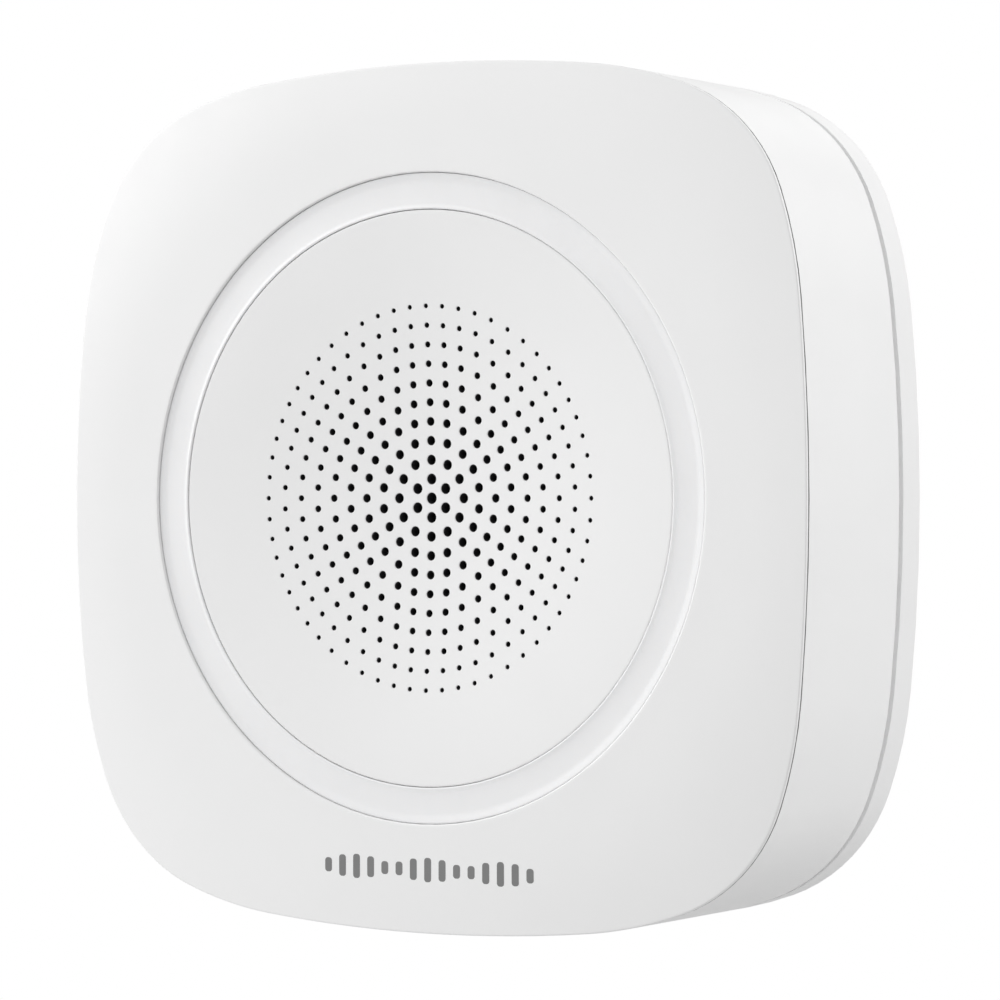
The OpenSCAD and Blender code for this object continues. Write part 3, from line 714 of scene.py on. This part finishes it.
grilleSettings = {
    "rings": 10,
    "pitch": 2.46,
    "middleHole": 1.5,
    "rimHole": 0.62,
    "chamfer": 0.06,
    "lip": 0.14,              # behind this lip the hole walls are painted dark as shade
    "holeSides": 18,
    "field": 26.4,            # the perforated part ends here
    "fieldSteps": 96,
    "bands": (0.2, 0.4, 0.6, 0.8, 0.97),
    "radius": 36.87,
    "thick": 1.6,
    "dishDepth": 2.9,
    "dishField": 24.6,
    "rise": 1.62,
    "ease": 0.245,
    "edgeRound": 0.2,
    "ribWide": 1.8,
    "ribFoot": 28.8,
}


def dishHeight(s, r):
    x = r / s["dishField"]
    return faceHeight - s["dishDepth"] + s["rise"] * x ** 2 - s["ease"] * x ** 4


def listHoles(s):
    holes = [(0.0, 0.0, s["middleHole"] / 2)]
    for ring in range(1, s["rings"] + 1):
        size = s["middleHole"] - (s["middleHole"] - s["rimHole"]) * ring / s["rings"]
        for sector in range(6):
            for j in range(-((ring - 1) // 2), ring // 2 + 1):
                angle = radians(90 + 60 * sector) + asin(j / ring)
                reach = ring * s["pitch"]
                holes.append((reach * cos(angle), reach * sin(angle), size / 2))
    return holes


def makeGrille(s, material, paintedShade):
    bm = bmesh.new()
    mark = bm.verts.layers.int.new("hole")
    holes = listHoles(s)
    bmesh.ops.create_circle(bm, cap_ends=False, radius=s["field"], segments=s["fieldSteps"])
    for number, (x, y, radius) in enumerate(holes, 1):
        made = bmesh.ops.create_circle(bm, cap_ends=False, radius=radius + s["chamfer"],
                                       segments=s["holeSides"], matrix=Matrix.Translation((x, y, 0)))
        for vert in made["verts"]:
            vert[mark] = number
    bmesh.ops.triangle_fill(bm, use_beauty=True, edges=bm.edges[:], normal=(0, 0, 1))
    back = bmesh.ops.duplicate(bm, geom=bm.verts[:] + bm.edges[:] + bm.faces[:])["geom"]
    backFaces = [g for g in back if isinstance(g, bmesh.types.BMFace)]
    backVerts = {g for g in back if isinstance(g, bmesh.types.BMVert)}
    for vert in bm.verts:
        drop = s["thick"] if vert in backVerts else 0
        vert.co.z = dishHeight(s, hypot(vert.co.x, vert.co.y)) - drop
    for face in bm.faces:
        face.material_index = 0
    openEdges = [e for e in bm.edges if e.is_boundary and e.verts[0] not in backVerts]
    rims = [e for e in openEdges if e.verts[0][mark] > 0]
    outer = [e for e in openEdges if e.verts[0][mark] == 0]
    # hole walls: chamfer in, straight down, and out again at the back
    depths = ((s["chamfer"], 0), (s["lip"], 0), (s["thick"] - s["chamfer"], 0), (s["thick"], s["chamfer"]))
    for drop, extra in depths:
        grown = bmesh.ops.extrude_edge_only(bm, edges=rims)["geom"]
        for face in (g for g in grown if isinstance(g, bmesh.types.BMFace)):
            # walls deeper than the lip are painted dark as the holes' shade
            face.material_index = 1 if drop > s["lip"] else 0
        rims = [g for g in grown if isinstance(g, bmesh.types.BMEdge) and g.is_boundary]
        for vert in (g for g in grown if isinstance(g, bmesh.types.BMVert)):
            x, y, radius = holes[vert[mark] - 1]
            out = Vector((vert.co.x - x, vert.co.y - y)).normalized() * (radius + extra)
            wide = Vector((vert.co.x - x, vert.co.y - y)).normalized() * (radius + s["chamfer"])
            top = dishHeight(s, hypot(x + wide.x, y + wide.y))
            vert.co = (x + out.x, y + out.y, top - drop)
    # plain band round the field, the disc's rounded edge, and the rib behind it
    edge, turn = s["radius"], s["edgeRound"]
    bend = [(edge - turn + turn * sin(radians(a)), turn * (1 - cos(radians(a)))) for a in (0, 30, 60, 90)]
    band = edge - turn - s["field"]
    front = [(s["field"] + share * band, 0) for share in s["bands"]] + bend
    path = [(r, dishHeight(s, r) - drop) for r, drop in front]
    ribIn = edge - s["ribWide"]
    path += [(edge, s["ribFoot"]), (ribIn, s["ribFoot"]), (ribIn, dishHeight(s, ribIn) - s["thick"]),
             (s["field"], dishHeight(s, s["field"]) - s["thick"])]
    for radius, height in path:
        grown = bmesh.ops.extrude_edge_only(bm, edges=outer)["geom"]
        outer = [g for g in grown if isinstance(g, bmesh.types.BMEdge) and g.is_boundary]
        for vert in (g for g in grown if isinstance(g, bmesh.types.BMVert)):
            flat = Vector((vert.co.x, vert.co.y)).normalized() * radius
            vert.co = (flat.x, flat.y, height)
    bmesh.ops.reverse_faces(bm, faces=backFaces)
    disc = finishPiece(bm, "grille_disc_dish", "case", ["grille_disc"], material)
    disc.data.materials.append(paintedShade)
    return disc


markSettings = {
    "bars": 15,
    "from": -14.0,
    "to": 16.6,
    "middle": -47.35,
    "tall": 3.1,
    "wide": 1.05,
    "shortest": 0.35,         # share of the tallest bar
    "phase": 0.12,
    "waves": 2.76,
    "endRound": 0.4,
    "ink": 0.012,
    "inkThick": 0.06,
}


def makeMark(s, material):
    # a row of level bars, printed in grey
    bm = bmesh.new()
    for bar in range(s["bars"]):
        share = bar / (s["bars"] - 1)
        swell = abs(sin(pi * (s["phase"] + s["waves"] * share)))
        tall = s["tall"] * (s["shortest"] + (1 - s["shortest"]) * swell)
        x = s["from"] + share * (s["to"] - s["from"])
        made = bmesh.ops.create_grid(bm, x_segments=1, y_segments=4, size=0.5,
                                     matrix=Matrix.Translation((x, s["middle"], 0))
                                     @ Matrix.Diagonal((s["wide"], tall, 1, 1)))
        ends = [v for v in made["verts"] if abs(abs(v.co.y - s["middle"]) - tall / 2) < 1e-4]
        bmesh.ops.bevel(bm, geom=ends, offset=s["endRound"], segments=5, profile=0.5, affect="VERTICES",
                        material=-1)
    for vert in bm.verts:
        vert.co.z = domeHeight(vert.co.x, vert.co.y) + s["ink"]
    skin = bmesh.ops.extrude_face_region(bm, geom=bm.faces[:])["geom"]
    for vert in (g for g in skin if isinstance(g, bmesh.types.BMVert)):
        vert.co.z -= s["inkThick"]
    return finishPiece(bm, "level_mark", "case", [], material)


# a cell's own profile in mm: the can, the wrap folded over its shoulder, and the raised contact
cellShape = {
    "footRound": 0.6,
    "beadFrom": 3.6,          # groove of the crimp, from the shoulder
    "beadWide": 0.8,
    "beadDeep": 0.22,
    "fold": 1.3,
    "sink": 0.3,
    "contact": 3.2,
    "contactTall": 1.0,
    "edge": 0.15,
    "steps": 48,
}


def makeCell(nodeName, s, material):
    low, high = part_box(nodeName)
    can = (high.x - low.x) / 2 / mm
    tall = (high.z - low.z) / mm
    shoulder = tall - s["contactTall"]
    bead = shoulder - s["beadFrom"]
    foot, edge = s["footRound"], s["edge"]
    bm = bmesh.new()
    spinProfile(bm, [
        (0, 0), (can - 2 * foot, 0), (can - foot, 0.1 * foot), (can - 0.1 * foot, 0.4 * foot), (can, foot),
        (can, bead - s["beadWide"]), (can - s["beadDeep"], bead - s["beadWide"] / 2), (can, bead),
        (can, shoulder - foot), (can - 0.3 * foot, shoulder - 0.2 * foot), (can - foot, shoulder),
        (can - s["fold"], shoulder), (can - s["fold"] - edge, shoulder - s["sink"]),
        (s["contact"] + 2 * edge, shoulder - s["sink"]), (s["contact"], shoulder),
        (s["contact"], tall - edge), (s["contact"] - edge, tall), (0, tall),
    ], s["steps"])
    # the raised contact points to the middle of the case
    middle = (low + high) / 2
    turn = radians(90 if middle.z > 0 else -90)
    bm.transform(Matrix.Rotation(turn, 4, "X") @ Matrix.Translation((0, 0, -tall / 2)))
    bm.transform(Matrix.Translation((middle.x / mm, middle.z / mm, -middle.y / mm)))
    return finishPiece(bm, nodeName + "_can", "case", [nodeName], material)


# moulded pieces of the frame that get rounded edges; the rear edge has a width of its own,
# and faces that lie this far below the face curve are painted grey as the seam's shade
roundedSettings = {
    "housing": {"piece": "housing_shell", "body": "case", "slot": "case_plastic",
                "round": 0.12, "rear": 0, "shadeDrop": (0.6, 0.8)},
    "wall_plate": {"piece": "wall_plate_tray", "body": "mount_plate", "slot": "rear_plastic",
                   "round": 0.14, "rear": 1.2, "shadeDrop": (0, 0)},
}


# angles in degrees between faces: flat ones are joined, and sharp ones get their rounding
roundedAngles = {"join": 0.2, "rear": 60, "sharp": 35}


def roundNode(nodeName, s, material, paintedShade):
    bm = bmesh.new()
    bm.from_mesh(nodes[nodeName].data)
    bm.transform(standUp.inverted())
    bmesh.ops.remove_doubles(bm, verts=bm.verts[:], dist=2e-3)
    bmesh.ops.dissolve_limit(bm, angle_limit=radians(roundedAngles["join"]), verts=bm.verts[:],
                             edges=bm.edges[:])
    farOut = 0.85 * halfWidth
    rear = [e for e in bm.edges if s["rear"] and e.calc_face_angle(0) > radians(roundedAngles["rear"])
            and all(abs(v.co.z) < close and v.co.xy.length > farOut for v in e.verts)]
    if rear:
        bmesh.ops.bevel(bm, geom=rear, offset=s["rear"], segments=5, profile=0.5, affect="EDGES",
                        material=-1)
    sharp = radians(roundedAngles["sharp"])
    corners = [e for e in bm.edges if e.is_manifold and e.calc_face_angle(0) > sharp]
    bmesh.ops.bevel(bm, geom=corners, offset=s["round"], segments=2, profile=0.5, affect="EDGES",
                    material=-1, clamp_overlap=True)
    # faces of the housing's rim along the seam are painted grey as shade
    low, high = s["shadeDrop"]
    for face in bm.faces:
        middle = face.calc_center_median()
        drop = domeHeight(middle.x, middle.y) - middle.z
        face.material_index = 1 if face.normal.z > 0.9 and low < drop < high else 0
    piece = finishPiece(bm, s["piece"], s["body"], [nodeName], material)
    piece.data.materials.append(paintedShade)
    return piece


def dressNodes(materials):
    slots = {row["node"]: row["material_slot"] for row in frame["record"]["subparts"]}
    for name, node in nodes.items():
        node.data.materials.clear()
        node.data.materials.append(materials[slots[name]])


setUpStudio(lightSettings)
print("studio ready")
materials = mixAll()
dressNodes(materials)
print("materials ready")
makeCover(coverSettings, materials["cover_plastic"], materials["seam_shadow"])
makeRing(ringSettings, materials["lens_plastic"])
makeGrille(grilleSettings, materials["grille_plastic"], materials["dark_plastic"])
makeMark(markSettings, materials["grey_print"])
for number in range(1, 5):
    makeCell("battery_" + str(number), cellShape, materials["cell_wrap"])
for nodeName, settings in roundedSettings.items():
    roundNode(nodeName, settings, materials[settings["slot"]], materials["seam_shadow"])
